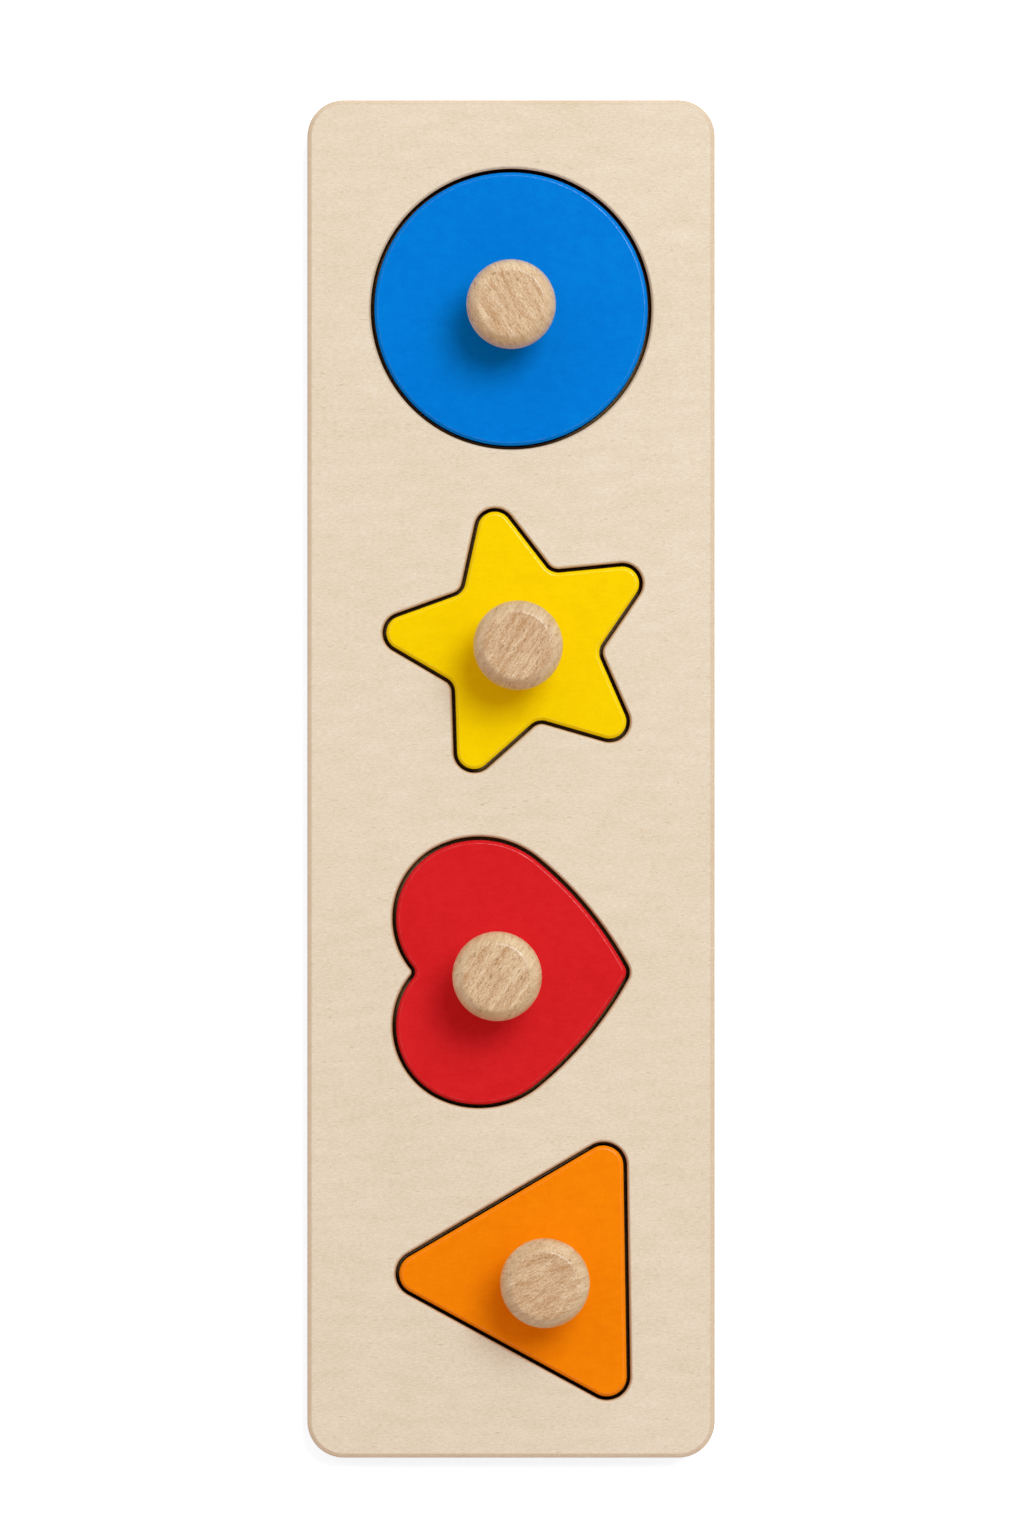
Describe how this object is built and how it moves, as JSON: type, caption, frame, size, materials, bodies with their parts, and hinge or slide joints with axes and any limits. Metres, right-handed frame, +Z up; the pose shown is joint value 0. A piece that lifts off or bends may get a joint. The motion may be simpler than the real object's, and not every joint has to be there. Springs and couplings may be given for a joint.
{
  "type": "peg puzzle",
  "caption": "Long wooden peg puzzle: painted circle, star, heart and triangle lift out of a plywood board by turned beech knobs.",
  "frame": {"origin": "centre of the board's underside", "axes": "+X along the board from the triangle towards the circle, +Y across the board towards the heart's lobes, +Z up, the way the knobs stand"},
  "size_m": [0.3, 0.09, 0.027],
  "materials": {
    "board_plywood": "bare birch plywood, fine sanded, matt",
    "backing_plywood": "bare birch plywood, sanded, matt",
    "knob_beech": "turned bare beech, end grain up, lightly waxed",
    "blue_paint": "satin water-based paint on plywood",
    "yellow_paint": "satin water-based paint on plywood",
    "red_paint": "satin water-based paint on plywood",
    "orange_paint": "satin water-based paint on plywood",
    "screw_steel": "zinc-plated steel"
  },
  "bodies": {
    "board": {"backing_board": "backing_plywood", "frame_board": "board_plywood"},
    "circle_lifter": {"circle_screw": "screw_steel"},
    "circle_piece": {"circle_insert": "blue_paint", "circle_knob": "knob_beech"},
    "star_piece": {"star_insert": "yellow_paint", "star_knob": "knob_beech", "star_screw": "screw_steel"},
    "heart_piece": {"heart_insert": "red_paint", "heart_knob": "knob_beech", "heart_screw": "screw_steel"},
    "triangle_piece": {"triangle_insert": "orange_paint", "triangle_knob": "knob_beech", "triangle_screw": "screw_steel"}
  },
  "joints": [
    {"name": "circle_lift", "type": "slide", "parent": "board", "child": "circle_lifter", "axis": [0, 0, 1], "range_m": [0, 0.04]},
    {"name": "circle_turn", "type": "hinge", "parent": "circle_lifter", "child": "circle_piece", "pos_m": [0.1038, 0, 0.009], "axis": [0, 0, 1], "continuous": true},
    {"name": "star_lift", "type": "slide", "parent": "board", "child": "star_piece", "axis": [0, 0, 1], "range_m": [0, 0.04]},
    {"name": "heart_lift", "type": "slide", "parent": "board", "child": "heart_piece", "axis": [0, 0, 1], "range_m": [0, 0.04]},
    {"name": "triangle_lift", "type": "slide", "parent": "board", "child": "triangle_piece", "axis": [0, 0, 1], "range_m": [0, 0.04]}
  ]
}
